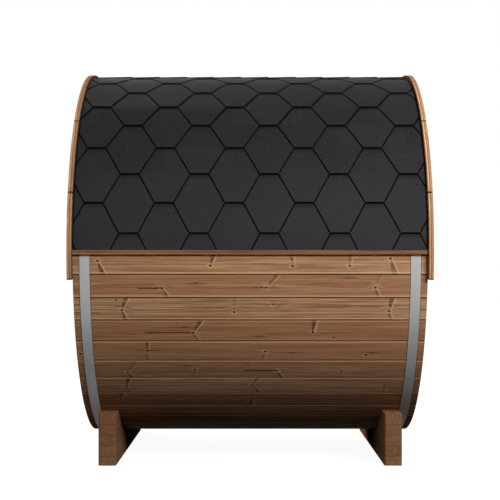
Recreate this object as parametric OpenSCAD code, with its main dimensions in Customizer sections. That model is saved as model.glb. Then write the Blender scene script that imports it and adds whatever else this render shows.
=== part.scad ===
// Barrel sauna: a staved barrel lying on two cradles, drawn up by two steel hoops, with a
// shingled roof over its upper half, arched end trims and boarded end walls.
// X runs along the barrel, Y from its front to its back, Z up from the ground.

/* [Barrel] */
// Outside radius of the staved barrel
barrel_r = 960; // [860:10:1100]
// Length of the staves
barrel_l = 1680; // [1400:10:2400]
// Staves in each quarter, beside the one at the bottom and the one at the ridge
quarter_staves = 13; // [11:1:15]
// Thickness of a stave
stave_t = 42; // [36:1:50]
// Width left in the joint between two staves
stave_gap = 0.4; // [0.2:0.1:0.8]
// Radius of the bead along one edge of a stave
bead_r = 14; // [12:1:16]
// Depth of the bead's centre inside its edge
bead_inset = 7; // [5:1:9]
// Chamfer along a stave's outer edges
stave_chamfer = 2.5; // [1:0.5:4]
// Height of the barrel's lowest stave above the ground
ground_gap = 104; // [60:1:160]

/* [Hoops] */
// Width of a hoop
hoop_w = 47; // [30:1:60]
// Thickness of a hoop
hoop_t = 1.5; // [1:0.1:3]
// Distance from a stave's end to the hoop's outer edge
hoop_setback = 33; // [10:1:60]
// Angle below the horizontal at which a hoop is drawn together, at the back
clamp_angle = 28; // [15:1:40]
// Width of the opening between a hoop's two lugs
clamp_gap = 26; // [16:1:40]
// Height of a lug above its hoop
lug_h = 34; // [24:1:40]
// Thickness of a lug's upright
lug_t = 6; // [4:1:8]
// Length of a lug's foot along its hoop
lug_foot = 38; // [24:1:60]
// Diameter of the hole for the hoop bolt
bolt_d = 11; // [6:0.5:14]

/* [Cradles] */
// Thickness of a cradle along the barrel
cradle_t = 88; // [60:1:140]
// Length of a cradle across the barrel
cradle_w = 1310; // [1200:10:1500]
// Height of a cradle's shoulders above the ground
cradle_h = 264; // [220:1:320]
// Chamfer on a cradle's upper end corners
cradle_chamfer = 5; // [2:1:30]
// Radius of a cradle's upright end arrises
cradle_round = 12; // [4:1:25]
// Space between a cradle and the hoop beside it
cradle_hoop_gap = 1.5; // [0.5:0.5:20]

/* [Roof] */
// Height of the roof's lower edge above the barrel's axis
eave_h = 6; // [2:1:40]
// Thickness of the felt under the shingles
felt_t = 3; // [2.5:0.1:5]
// Thickness of a shingle
shingle_t = 2.7; // [2:0.1:4]
// Space between two shingles that lie on each other
lap_gap = 0.1; // [0.05:0.05:0.3]
// Height of a course that stays uncovered, along the roof
exposure = 148; // [120:1:170]
// Distance from the roof's lower edge up to the feet of the first course
first_course = 84; // [30:1:110]
// Distance between two tabs of a course
tab_pitch = 333; // [280:1:400]
// Width of a tab's straight foot
tab_foot = 89; // [60:1:130]
// Place along the barrel of a tab in the first course
tab_shift = 90; // [0:1:166]
// How far a course reaches over the heads of the notches below it
notch_lap = 4; // [2:1:12]
// Half the width of the ridge cap, along the roof
cap_half = 125; // [90:1:150]
// Length of a ridge cap piece that stays uncovered
cap_exposure = 152; // [120:1:200]
// Length of a ridge cap piece under its neighbour
cap_lap = 50; // [30:1:90]
// Height of an eave batten
batten_h = 21; // [16:1:50]
// Thickness of an eave batten
batten_t = 14; // [12:1:30]

/* [Arched end trims] */
// Thickness of a trim along the barrel
trim_t = 25; // [18:1:40]
// Width of a trim, from its outer edge inwards
trim_w = 63; // [56:1:90]
// Height of a trim's outer edge above the shingles
trim_lip = 11; // [4:1:30]
// Angle by which a trim runs on below the horizontal
trim_drop = 7.9; // [2:0.1:15]
// Pieces in each half of a trim
trim_pieces = 4; // [3:1:6]
// Width left between two pieces
trim_gap = 5; // [1:0.5:8]

/* [End walls] */
// Distance from the staves' ends to a wall's outer face
wall_setback = 70; // [40:5:200]
// Thickness of a wall's boards
wall_t = 42; // [30:1:50]
// Depth of the groove in the staves that holds a wall
croze_d = 12; // [8:1:16]
// Boards across the plain wall
wall_boards = 15; // [11:1:19]
// Boards on each side of the doorway
side_boards = 5; // [3:1:7]
// Boards over and under the doorway
head_boards = 5; // [3:1:7]
// Thickness of a board's tongue
tongue_t = 10; // [6:1:14]
// Length of a board's tongue
tongue_l = 8; // [5:1:12]

/* [Door] */
// Width of the door frame over its jambs
frame_w = 660; // [560:5:760]
// Width of a frame member's face
frame_face = 45; // [36:1:60]
// How far the frame stands out from each face of its wall
frame_proud = 8; // [2:1:14]
// Least width of wall between the frame's corners and the staves
frame_corner = 60; // [40:1:120]
// Width of the rebate that the door closes against
rebate = 12; // [8:1:18]
// Thickness of the door's boards
leaf_t = 40; // [30:1:45]
// Boards in the door
leaf_boards = 5; // [3:2:7]
// Space round the door in its frame
leaf_clear = 3; // [2:0.5:5]
// Height of the ledges across the back of the door
ledge_h = 110; // [80:5:150]
// Thickness of the ledges
ledge_t = 22; // [16:1:30]
// Width of the light in the door
light_w = 200; // [120:5:260]
// Height of the light in the door
light_h = 400; // [200:5:500]
// Distance from the door's upper edge to its light
light_drop = 260; // [200:5:360]
// Thickness of the glass
glass_t = 8; // [4:1:10]
// Width of the beads that hold the glass
bead_w = 14; // [8:1:20]
// How far the beads stand out from the door
bead_proud = 4; // [1:1:8]
// Height of a hinge
hinge_h = 60; // [40:1:90]
// Length of a hinge's strap on the door
hinge_strap = 220; // [120:5:300]
// Thickness of a hinge's plates
hinge_t = 3; // [2:0.5:5]
// Diameter of a hinge's knuckle
knuckle_d = 14; // [10:1:20]
// Length of the handle's bar
handle_l = 320; // [200:5:450]
// Diameter of the handle's bar
handle_d = 26; // [20:1:36]
// Space for the hand behind the bar
handle_space = 34; // [28:1:40]

/* [Hidden] */
$fn = 360;

// Space between pieces that rest on each other
seat = 0.2;
// Extra reach of a cutting shape past what it cuts
over = 20;

// Barrel: the axis lies over the ground gap, and the staves stand round it at one pitch
axis_z = barrel_r + ground_gap;
room_r = barrel_r - stave_t;
stave_n = 4 * quarter_staves + 2;
stave_pitch = 360 / stave_n;
end_x = barrel_l / 2;

// End walls: both lie the same way in from the staves' ends, in the grooves
wall_out = end_x - wall_setback;
wall_in = wall_out - wall_t;
wall_mid = (wall_out + wall_in) / 2;
wall_r = room_r + croze_d - stave_gap;
past_wall = wall_r + over;

// Hoops and cradles
hoop_out = end_x - hoop_setback;
hoop_in = hoop_out - hoop_w;
hoop_r = barrel_r + seat;
cradle_out = hoop_in - cradle_hoop_gap;

// Roof: felt on the staves, then courses that each lie on the two below them
roof_l = barrel_l - 2 * stave_gap;
felt_r = barrel_r + seat;
course_r = felt_r + felt_t + lap_gap;
lap_t = shingle_t + lap_gap;
roof_r = course_r + 3 * lap_t;
eave_angle = asin(eave_h / roof_r);
course_step = exposure / roof_r * 180 / PI;
first_angle = eave_angle + first_course / roof_r * 180 / PI;
cap_angle = cap_half / roof_r * 180 / PI;
course_n = ceil((90 - cap_angle - first_angle) / course_step);
ridge_angle = 90 - lap_gap / roof_r * 180 / PI;
// The last course falls towards the ridge, so the cap lies on it along the cap's own edges
last_fall = (90 - cap_angle - first_angle) / course_step - course_n + 1;
cap_r = course_r + lap_gap + lap_t * (3 - last_fall);
cap_n = round((roof_l - cap_lap) / cap_exposure);
cap_step = (roof_l - cap_lap) / cap_n;

// Arched end trims
trim_r = roof_r + trim_lip;
trim_step = (90 + trim_drop) / trim_pieces;

// Door
frame_half_h = sqrt(pow(room_r - frame_corner, 2) - pow(frame_w / 2, 2));
frame_out = wall_out + frame_proud;
frame_in = wall_in - frame_proud;
leaf_w = frame_w - 2 * (frame_face - rebate + leaf_clear);
leaf_half_h = frame_half_h - frame_face + rebate - leaf_clear;
leaf_in = frame_out - leaf_t;
light_top = leaf_half_h - light_drop;
light_low = light_top - light_h;
ledge_z = [leaf_half_h - light_drop / 2, -leaf_half_h + light_drop / 2];

WOOD = "#7a5437";
PALE_WOOD = "#b98556";
STEEL = "#b5b6b8";
SHINGLE = "#3a3a3b";

// Placing

// Draws a profile, given across the barrel from its axis, along the barrel
module along_barrel(x, l) {
    translate([x, 0, axis_z]) rotate([90, 0, 90]) linear_extrude(l) children();
}

// A round bar along the barrel, on its axis
module round_bar(x, l, r) {
    translate([x, 0, axis_z]) rotate([0, 90, 0]) cylinder(r = r, h = l);
}

// Places what is drawn at the back, at one side of the barrel
module on_side(front) {
    mirror([0, front ? 1 : 0, 0]) children();
}

// Places what is drawn at the right end, at one end of the barrel
module on_end(left) {
    mirror([left ? 1 : 0, 0, 0]) children();
}

// A sector between two angles that reaches past a radius
module sector(a0, a1, r) {
    steps = ceil((a1 - a0) / 20);
    reach = 1.1 * r;
    polygon(concat([[0, 0]], [
        for (i = [0:steps])
            let (a = a0 + (a1 - a0) * i / steps)
            [reach * cos(a), reach * sin(a)]
    ]));
}

// A curved strip between two radii and two angles
module strip(r0, r1, a0, a1) {
    intersection() {
        difference() {
            circle(r = r1);
            circle(r = r0);
        }
        sector(a0, a1, r1);
    }
}

// A box given by two opposite corners, with its heights counted from the barrel's axis
module axis_box(low, high) {
    translate([low.x, low.y, axis_z + low.z]) cube(high - low);
}

// Barrel

// Where a joint face lies beside a stave's middle, at a height along the stave's radius
function joint_u(v) = v * tan(stave_pitch / 2) - stave_gap / 2 / cos(stave_pitch / 2);

// A stave's section: wedge sides, a bead on one edge, a cove on the other, eased outer edges
module stave_profile() {
    half = stave_pitch / 2;
    low = room_r * cos(half) - over;
    corner = barrel_r * cos(half) - stave_chamfer;
    reach = barrel_r + stave_chamfer - corner;
    right = [
        [joint_u(low), low],
        [joint_u(corner), corner],
        [joint_u(corner) - reach, corner + reach]
    ];
    left = [for (i = [len(right) - 1:-1:0]) [-right[i].x, right[i].y]];
    middle = (barrel_r + room_r) / 2;
    difference() {
        union() {
            intersection() {
                difference() {
                    circle(r = barrel_r);
                    circle(r = room_r);
                }
                polygon(concat(right, left));
            }
            rotate(-half) translate([-bead_inset, middle]) circle(r = bead_r);
        }
        rotate(half) translate([-bead_inset, middle]) circle(r = bead_r + stave_gap);
    }
}

// Staves by number, counted from the bottom one up the back, each grooved for the end walls
module staves(numbers) {
    for (k = numbers) {
        difference() {
            along_barrel(-end_x, barrel_l) rotate(k * stave_pitch - 180) stave_profile();
            for (left = [false, true])
                on_end(left) round_bar(wall_in - stave_gap, wall_t + 2 * stave_gap, room_r + croze_d);
        }
    }
}

module quarter(first, odd) {
    color(WOOD) staves([for (k = [first:first + quarter_staves - 1]) if (k % 2 == odd) k]);
}

lower_back = 1;
upper_back = lower_back + quarter_staves;
ridge = upper_back + quarter_staves;
upper_front = ridge + 1;
lower_front = upper_front + quarter_staves;

module bottom_stave() { color(WOOD) staves([0]); }
module lower_back_staves_a() { quarter(lower_back, 1); }
module lower_back_staves_b() { quarter(lower_back, 0); }
module upper_back_staves_a() { quarter(upper_back, 1); }
module upper_back_staves_b() { quarter(upper_back, 0); }
module ridge_stave() { color(WOOD) staves([ridge]); }
module upper_front_staves_a() { quarter(upper_front, 1); }
module upper_front_staves_b() { quarter(upper_front, 0); }
module lower_front_staves_a() { quarter(lower_front, 1); }
module lower_front_staves_b() { quarter(lower_front, 0); }

// Hoops

// Turns what is drawn at the top of the barrel to the place where the hoops are drawn together
module at_clamp() {
    translate([0, 0, axis_z]) rotate([-90 - clamp_angle, 0, 0]) children();
}

// A flat steel band round the staves, open between its lugs
module hoop() {
    color(STEEL) difference() {
        round_bar(hoop_in, hoop_w, hoop_r + hoop_t);
        round_bar(hoop_in - over, hoop_w + 2 * over, hoop_r);
        at_clamp() translate([hoop_in - over, -clamp_gap / 2, hoop_r - over])
            cube([hoop_w + 2 * over, clamp_gap, 2 * over]);
    }
}

// An angle lug: a foot along the hoop and an upright with the hole for the bolt
module lug() {
    foot_r = hoop_r + hoop_t + seat;
    difference() {
        intersection() {
            translate([hoop_in, clamp_gap / 2, foot_r - over])
                cube([hoop_w, lug_foot, lug_h + over]);
            rotate([0, 90, 0]) translate([0, 0, hoop_in - over])
                cylinder(r = foot_r + lug_h, h = hoop_w + 2 * over);
        }
        rotate([0, 90, 0]) translate([0, 0, hoop_in - over])
            cylinder(r = foot_r, h = hoop_w + 2 * over);
        translate([hoop_in - over, clamp_gap / 2 + lug_t, foot_r + lug_t])
            cube([hoop_w + 2 * over, lug_foot, lug_h]);
        translate([(hoop_in + hoop_out) / 2, 0, foot_r + (lug_h + lug_t) / 2])
            rotate([-90, 0, 0]) cylinder(d = bolt_d, h = clamp_gap + lug_foot);
    }
}

module hoop_left() { on_end(true) hoop(); }
module hoop_right() { on_end(false) hoop(); }
module hoop_lugs() {
    color(STEEL)
        for (left = [false, true], turn = [0, 1])
            on_end(left) at_clamp() mirror([0, turn, 0]) lug();
}

// Cradles

// What is cut off a square upright arris to round it, given in plan at the corner of a beam
module arris_cut() {
    translate([-cradle_round, -cradle_round, -over])
        linear_extrude(cradle_h + 2 * over) difference() {
            square(cradle_round + over);
            circle(r = cradle_round);
        }
}

// A beam across the barrel with a saddle cut to the staves and rounded upright ends
module cradle() {
    half = cradle_w / 2;
    color(WOOD) difference() {
        along_barrel(cradle_out - cradle_t, cradle_t) difference() {
            translate([0, -axis_z]) polygon([
                [-half, 0], [half, 0],
                [half, cradle_h - cradle_chamfer], [half - cradle_chamfer, cradle_h],
                [-half + cradle_chamfer, cradle_h], [-half, cradle_h - cradle_chamfer]
            ]);
            circle(r = barrel_r + seat);
        }
        for (inner = [0, 1], front = [0, 1])
            translate([cradle_out - cradle_t / 2, 0, 0]) mirror([inner, 0, 0])
                mirror([0, front, 0]) translate([cradle_t / 2, half, 0]) arris_cut();
    }
}

module cradle_left() { on_end(true) cradle(); }
module cradle_right() { on_end(false) cradle(); }

// Roof

// Felt from the eave to the ridge, pressed down over the hoops
module roof_felt(front) {
    color(SHINGLE) on_side(front) difference() {
        along_barrel(-roof_l / 2, roof_l) strip(felt_r, felt_r + felt_t, eave_angle, ridge_angle);
        for (left = [false, true])
            on_end(left) round_bar(hoop_in - seat, hoop_w + 2 * seat, hoop_r + hoop_t + seat);
    }
}

// The angle at which a course has its feet
function course_angle(k) = first_angle + k * course_step;

// A course without its notches. It falls from its feet, three shingles up, to its head on the
// felt, so its circles lie off the axis by what brings that fall over two exposures.
module course_strip(k) {
    head = course_angle(k + 2);
    fall = lap_t / sin(course_step);
    low = max(course_angle(k), eave_angle);
    high = min(head, ridge_angle);
    along_barrel(-roof_l / 2, roof_l) intersection() {
        rotate(course_angle(k + 1)) translate([0, -fall]) difference() {
            circle(r = course_r + lap_t + shingle_t);
            circle(r = course_r + lap_t);
        }
        sector(low, high, roof_r);
    }
}

// The notch between two tabs: narrow at its head, with sides that run out to the tabs' feet
module notch() {
    head = exposure / 2 - notch_lap;
    foot = exposure / 2;
    wide = (tab_pitch - tab_foot) / 2;
    linear_extrude(2 * over) polygon([
        [-tab_foot / 2, -head], [tab_foot / 2, -head],
        [wide, foot], [wide, foot + over], [-wide, foot + over], [-wide, foot]
    ]);
}

// A course of six-sided tabs, shifted by half a pitch from one course to the next
module course(k) {
    shift = tab_shift + (k % 2 + 1) * tab_pitch / 2;
    span = ceil(roof_l / tab_pitch / 2) + 1;
    difference() {
        course_strip(k);
        for (n = [-span:span])
            let (x = shift + n * tab_pitch)
            if (abs(x) < (roof_l + tab_pitch - tab_foot) / 2)
                translate([0, 0, axis_z]) rotate([course_angle(k + 0.5) - 90, 0, 0])
                    translate([x, 0, roof_r - over]) notch();
    }
}

// Every second course, counted down from the ridge
module shingles(front, skip) {
    last = course_n - 1 - skip;
    color(SHINGLE) on_side(front)
        for (k = [last % 2:2:last]) course(k);
}

// Two plain strips that carry the first course at the eave
module starter(front) {
    color(SHINGLE) on_side(front) {
        course_strip(-1);
        course_strip(-2);
    }
}

// Cap pieces over the ridge, each rising to lie with its right end on the next
module ridge_caps() {
    slope = atan(lap_t / cap_step);
    color(SHINGLE) for (j = [0:cap_n - 1])
        translate([j * cap_step - roof_l / 2, 0, axis_z + cap_r]) rotate([0, -slope, 0])
            rotate([90, 0, 90]) linear_extrude(cap_step + cap_lap - seat)
                translate([0, -cap_r])
                    strip(cap_r, cap_r + shingle_t, 90 - cap_angle, 90 + cap_angle);
}

// A batten along the eave, over the hoops, with the roof's lower edge on it
module eave_batten(front) {
    top = eave_h - stave_gap;
    color(WOOD) on_side(front) difference() {
        along_barrel(-roof_l / 2, roof_l) difference() {
            translate([0, top - batten_h]) square([barrel_r + batten_t, batten_h]);
            circle(r = barrel_r + seat);
        }
        for (left = [false, true])
            on_end(left) round_bar(hoop_in - seat, hoop_w + 2 * seat, hoop_r + hoop_t + seat);
    }
}

module roof_felt_front() { roof_felt(true); }
module roof_felt_back() { roof_felt(false); }
module starter_front() { starter(true); }
module starter_back() { starter(false); }
module shingles_front_a() { shingles(true, 0); }
module shingles_front_b() { shingles(true, 1); }
module shingles_back_a() { shingles(false, 0); }
module shingles_back_b() { shingles(false, 1); }
module eave_batten_front() { eave_batten(true); }
module eave_batten_back() { eave_batten(false); }

// Arched end trims

// Half an arched trim on the staves' ends: curved pieces in a row, from below the eave to the ridge
module trim(left, front) {
    space = trim_gap / trim_r * 180 / PI / 2;
    color(PALE_WOOD) on_end(left) on_side(front)
        along_barrel(end_x + seat, trim_t)
            for (i = [0:trim_pieces - 1])
                strip(trim_r - trim_w, trim_r,
                      -trim_drop + i * trim_step + (i > 0 ? space : 0),
                      -trim_drop + (i + 1) * trim_step - space);
}

module trim_left_front() { trim(true, true); }
module trim_left_back() { trim(true, false); }
module trim_right_front() { trim(false, true); }
module trim_right_back() { trim(false, false); }

// End walls

// A round panel's slice between two places across the barrel and two heights
module wall_slice(x, t, y0, y1, low, high) {
    along_barrel(x, t) intersection() {
        circle(r = wall_r);
        translate([y0, low]) square([y1 - y0, high - low]);
    }
}

// An upright board at the right end, tongued on one edge and grooved on the other
module wall_board(y, w, low, high) {
    y0 = y - w / 2 + stave_gap / 2;
    y1 = y + w / 2 - stave_gap / 2;
    groove_t = tongue_t + 2 * stave_gap;
    difference() {
        union() {
            wall_slice(wall_in, wall_t, y0, y1, low, high);
            wall_slice(wall_mid - tongue_t / 2, tongue_t, y1 - over, y1 + tongue_l, low, high);
        }
        axis_box([wall_mid - groove_t / 2, y0 - over, low - over],
                 [wall_mid + groove_t / 2, y0 + tongue_l + stave_gap, high + over]);
        for (edge = [y0, y1])
            translate([wall_out, edge, axis_z + low - over]) linear_extrude(high - low + 2 * over)
                rotate(45) square(stave_chamfer * sqrt(2), center = true);
    }
}

// A row of boards between two places across the barrel: all of them, or every second one
module board_row(y0, y1, count, low, high, first = 0, step = 1) {
    w = (y1 - y0) / count;
    for (i = [first:step:count - 1])
        wall_board(y0 + (i + 0.5) * w, w, low, high);
}

module plain_wall(odd) {
    color(WOOD) rotate(180)
        board_row(-wall_r, wall_r, wall_boards, -past_wall, past_wall, odd, 2);
}

// The boards that meet the door frame stop at it
module door_wall(low, high, y0, y1, count) {
    color(WOOD) difference() {
        board_row(y0, y1, count, low, high);
        axis_box([frame_in - over, -frame_w / 2 - seat, -frame_half_h - seat],
                 [frame_out + over, frame_w / 2 + seat, frame_half_h + seat]);
    }
}

module left_wall_boards_a() { plain_wall(0); }
module left_wall_boards_b() { plain_wall(1); }
module right_wall_boards_front() {
    door_wall(-past_wall, past_wall, -wall_r, -frame_w / 2, side_boards);
}
module right_wall_boards_back() {
    door_wall(-past_wall, past_wall, frame_w / 2, wall_r, side_boards);
}
module right_wall_boards_over() {
    door_wall(frame_half_h, past_wall, -frame_w / 2, frame_w / 2, head_boards);
}
module right_wall_boards_under() {
    door_wall(-past_wall, -frame_half_h, -frame_w / 2, frame_w / 2, head_boards);
}

// Door

// Two jambs between a head and a sill, all rebated on the outside for the door
module door_frame() {
    half_w = frame_w / 2;
    inner_w = half_w - frame_face;
    inner_h = frame_half_h - frame_face;
    color(WOOD) difference() {
        union() {
            for (side = [-1, 1]) {
                translate([0, side * (half_w - frame_face / 2), 0])
                    axis_box([frame_in, -frame_face / 2, -inner_h + seat],
                             [frame_out, frame_face / 2, inner_h - seat]);
                translate([0, 0, side * (frame_half_h - frame_face / 2)])
                    axis_box([frame_in, -half_w, -frame_face / 2],
                             [frame_out, half_w, frame_face / 2]);
            }
        }
        axis_box([leaf_in - seat, -inner_w - rebate, -inner_h - rebate],
                 [frame_out + over, inner_w + rebate, inner_h + rebate]);
    }
}

// Cuts the light through the door
module light_cut(edge, low_x, high_x) {
    axis_box([low_x, -light_w / 2 + edge, light_low + edge],
             [high_x, light_w / 2 - edge, light_top - edge]);
}

// Upright boards side by side
module door_boards() {
    w = leaf_w / leaf_boards;
    color(WOOD) difference() {
        for (i = [0:leaf_boards - 1])
            axis_box([leaf_in, -leaf_w / 2 + i * w + stave_gap / 2, -leaf_half_h],
                     [frame_out, -leaf_w / 2 + (i + 1) * w - stave_gap / 2, leaf_half_h]);
        light_cut(0, leaf_in - over, frame_out + over);
        for (i = [1:leaf_boards - 1])
            translate([frame_out, -leaf_w / 2 + i * w, axis_z - leaf_half_h - over])
                linear_extrude(2 * (leaf_half_h + over)) rotate(45)
                    square(stave_chamfer * sqrt(2), center = true);
    }
}

// Ledges across the boards, on the room's side, clear of the frame
module door_ledges() {
    half_w = frame_w / 2 - frame_face - leaf_clear;
    color(WOOD) for (z = ledge_z)
        axis_box([leaf_in - seat - ledge_t, -half_w, z - ledge_h / 2],
                 [leaf_in - seat, half_w, z + ledge_h / 2]);
}

// The glass, in the middle of the door's thickness
module door_glass() {
    middle = frame_out - leaf_t / 2;
    color("#6b5a4a") light_cut(seat, middle - glass_t / 2, middle + glass_t / 2);
}

// A frame of beads on each side of the glass
module door_glass_beads() {
    middle = frame_out - leaf_t / 2;
    depth = leaf_t / 2 - glass_t / 2 - seat + bead_proud;
    color(WOOD) for (side = [0, 1])
        translate([middle, 0, 0]) mirror([side, 0, 0]) difference() {
            light_cut(seat, glass_t / 2 + seat, glass_t / 2 + seat + depth);
            light_cut(bead_w, 0, leaf_t);
        }
}

// Strap hinges over the joint between door and frame
module door_hinges() {
    joint_y = leaf_w / 2 + leaf_clear / 2;
    face = frame_out + seat;
    color(STEEL) for (z = ledge_z) {
        axis_box([face, joint_y - hinge_strap, z - hinge_h / 4],
                 [face + hinge_t, joint_y, z + hinge_h / 4]);
        axis_box([face, joint_y - knuckle_d / 2, z - hinge_h / 2],
                 [face + hinge_t, joint_y + frame_face - rebate - leaf_clear, z + hinge_h / 2]);
        translate([face + knuckle_d / 2, joint_y, axis_z + z - hinge_h / 2])
            cylinder(d = knuckle_d, h = hinge_h);
    }
}

// A round bar on two posts, on each face of the door
module door_handles() {
    handle_y = -leaf_w / 2 + leaf_w / leaf_boards / 2;
    post_d = handle_d * 0.8;
    color(PALE_WOOD) for (side = [0, 1])
        translate([frame_out - leaf_t / 2, handle_y, axis_z]) mirror([side, 0, 0]) {
            translate([leaf_t / 2 + handle_space + handle_d / 2, 0, -handle_l / 2])
                cylinder(d = handle_d, h = handle_l);
            for (z = [-1, 1])
                translate([leaf_t / 2 + seat, 0, z * handle_l / 3]) rotate([0, 90, 0])
                    cylinder(d = post_d, h = handle_space + handle_d / 2);
        }
}

bottom_stave();
lower_back_staves_a();
lower_back_staves_b();
upper_back_staves_a();
upper_back_staves_b();
ridge_stave();
upper_front_staves_a();
upper_front_staves_b();
lower_front_staves_a();
lower_front_staves_b();
hoop_left();
hoop_right();
hoop_lugs();
cradle_left();
cradle_right();
roof_felt_front();
roof_felt_back();
starter_front();
starter_back();
shingles_front_a();
shingles_front_b();
shingles_back_a();
shingles_back_b();
ridge_caps();
eave_batten_front();
eave_batten_back();
trim_left_front();
trim_left_back();
trim_right_front();
trim_right_back();
left_wall_boards_a();
left_wall_boards_b();
right_wall_boards_front();
right_wall_boards_back();
right_wall_boards_over();
right_wall_boards_under();
door_frame();
door_boards();
door_ledges();
door_glass();
door_glass_beads();
door_hinges();
door_handles();
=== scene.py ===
from math import cos, pi, radians, sin

import bmesh
import bpy
from mathutils import Matrix, Vector


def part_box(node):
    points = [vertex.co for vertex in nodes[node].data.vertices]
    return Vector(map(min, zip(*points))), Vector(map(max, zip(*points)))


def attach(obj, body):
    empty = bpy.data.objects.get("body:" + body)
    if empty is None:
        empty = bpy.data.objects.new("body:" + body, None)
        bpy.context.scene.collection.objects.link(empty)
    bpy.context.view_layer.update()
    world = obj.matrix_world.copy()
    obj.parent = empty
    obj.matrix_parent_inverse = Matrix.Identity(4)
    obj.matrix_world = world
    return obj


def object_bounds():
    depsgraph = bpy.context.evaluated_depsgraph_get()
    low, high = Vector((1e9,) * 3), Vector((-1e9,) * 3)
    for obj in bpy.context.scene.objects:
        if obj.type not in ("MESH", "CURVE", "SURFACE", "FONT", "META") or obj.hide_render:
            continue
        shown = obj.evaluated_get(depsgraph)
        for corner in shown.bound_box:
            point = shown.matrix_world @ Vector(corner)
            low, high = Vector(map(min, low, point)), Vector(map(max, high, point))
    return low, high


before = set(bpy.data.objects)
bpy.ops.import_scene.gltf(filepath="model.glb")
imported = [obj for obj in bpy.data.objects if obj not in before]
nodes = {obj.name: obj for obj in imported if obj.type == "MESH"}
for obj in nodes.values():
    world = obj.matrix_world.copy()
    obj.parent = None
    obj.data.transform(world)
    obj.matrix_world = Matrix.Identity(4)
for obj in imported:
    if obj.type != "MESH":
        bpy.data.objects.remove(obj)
cad_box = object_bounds()

# Standpoint and studio
# The sauna is seen square on to its side by a level camera a little below the barrel's axis.
# It stands on a plain pale floor that turns white away from its shadow, between two soft boxes,
# one over the camera's right shoulder and a like one behind, with a weak fill from the left.
EYE = Vector((0, -6.360, 0.959))
LENS_MM = 82.32
SENSOR_MM = 36
HORIZON_DROP = 0.0471
SIDE_SHIFT = -0.0004
FLOOR_SIZE = 60
FLOOR_DROP = 0.0005
FLOOR_NEAR = (0.94, 0.94, 0.94, 1)
FLOOR_REACH = (2.0, 4.5)
FLOOR_PALE = (0.10, 0.10, 0.10, 1)
FLOOR_BOUNCE = (0.03, 0.03, 0.03, 1)
SKY_LIGHT = 0.55
SKY_RISE = (0.10, 0.60)
BLACK = (0, 0, 0, 1)
WHITE = (1, 1, 1, 1)

scene = bpy.context.scene
scene.view_settings.view_transform = "Standard"

eye = bpy.data.objects.new("eye", bpy.data.cameras.new("eye"))
eye.location = EYE
eye.rotation_euler = (pi / 2, 0, 0)
eye.data.lens = LENS_MM
eye.data.sensor_width = SENSOR_MM
eye.data.shift_x = SIDE_SHIFT
eye.data.shift_y = HORIZON_DROP
scene.collection.objects.link(eye)
scene.camera = eye


class Flow:
    """A socket in a node tree. Arithmetic on it adds Math nodes, and node() adds any other."""

    def __init__(self, tree, socket):
        self.tree = tree
        self.socket = socket

    def node(self, kind, settings=None, inputs=None, out=0):
        """Adds a node of a type, makes its settings, then fills its sockets with values or links."""
        made = self.tree.nodes.new("ShaderNode" + kind)
        for name, value in (settings or {}).items():
            setattr(made, name, value)
        for name, value in (inputs or {}).items():
            if isinstance(value, Flow):
                self.tree.links.new(value.socket, made.inputs[name])
            else:
                made.inputs[name].default_value = value
        return Flow(self.tree, made.outputs[out])

    def math(self, operation, *values):
        return self.node("Math", {"operation": operation}, dict(enumerate(values)))

    def __add__(self, other):
        return self.math("ADD", self, other)

    def __sub__(self, other):
        return self.math("SUBTRACT", self, other)

    def __rsub__(self, other):
        return self.math("SUBTRACT", other, self)

    def __mul__(self, other):
        return self.math("MULTIPLY", self, other)

    def __truediv__(self, other):
        return self.math("DIVIDE", self, other)

    def __rtruediv__(self, other):
        return self.math("DIVIDE", other, self)

    def __pow__(self, other):
        return self.math("POWER", self, other)

    def __rpow__(self, other):
        return self.math("POWER", other, self)

    __radd__ = __add__
    __rmul__ = __mul__

    def floor(self):
        return self.math("FLOOR", self)

    def fraction(self):
        return self.math("FRACT", self)

    def size(self):
        return self.math("ABSOLUTE", self)

    def sign(self):
        return self.math("SIGN", self)

    def most(self, other):
        return self.math("MAXIMUM", self, other)

    def below(self, limit):
        return self.math("LESS_THAN", self, limit)

    def near(self, value, reach):
        return self.math("COMPARE", self, value, reach)

    def span(self, other):
        """The straight distance to a place this far along and the other far up."""
        return (self * self + other * other) ** 0.5

    def angle(self, other):
        """The angle whose tangent is this number over the other."""
        return self.math("ARCTAN2", self, other)

    def bell(self, steepness):
        """1 at 0, falling away to both sides."""
        return self.math("EXPONENT", self * self * -steepness)

    def rise(self, low, high):
        """0 up to low, 1 from high, and smooth between them. It falls where low is the higher."""
        return self.node(
            "MapRange",
            {"interpolation_type": "SMOOTHSTEP"},
            {"Value": self, "From Min": low, "From Max": high},
        )

    def band(self, start, full, fade, end):
        """0 up to start, 1 from full to fade, and 0 again from end."""
        return self.rise(start, full) * self.rise(end, fade)

    def blend(self, first, second):
        """The first colour where this number is 0 and the second where it is 1."""
        return self.node("Mix", {"data_type": "RGBA"}, {0: self, 6: first, 7: second}, out=2)

    def tint(self, colour, amount):
        """This colour, mixed with another by an amount."""
        return self.node("Mix", {"data_type": "RGBA"}, {0: amount, 6: self, 7: colour}, out=2)

    def parts(self):
        """The three numbers of a vector."""
        return [self.node("SeparateXYZ", inputs={0: self}, out=i) for i in range(3)]

    def noise(self, x, y, z, detail=2.0):
        """Soft noise from 0 to 1 about a place, whose numbers count its waves."""
        place = self.node("CombineXYZ", inputs={0: x, 1: y, 2: z})
        return self.node("TexNoise", inputs={"Vector": place, "Scale": 1.0, "Detail": detail})

    def chance(self, *seeds):
        """Three even random numbers for up to three seeds."""
        place = self.node("CombineXYZ", inputs=dict(enumerate(seeds)))
        return self.node("TexWhiteNoise", inputs={"Vector": place}, out="Color").parts()


def new_finish(name):
    """An empty material, with a flow that holds the place on the piece."""
    material = bpy.data.materials.new(name)
    material.use_nodes = True
    tree = material.node_tree
    place = tree.nodes.new("ShaderNodeTexCoord").outputs["Object"]
    return material, Flow(tree, place)


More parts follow.
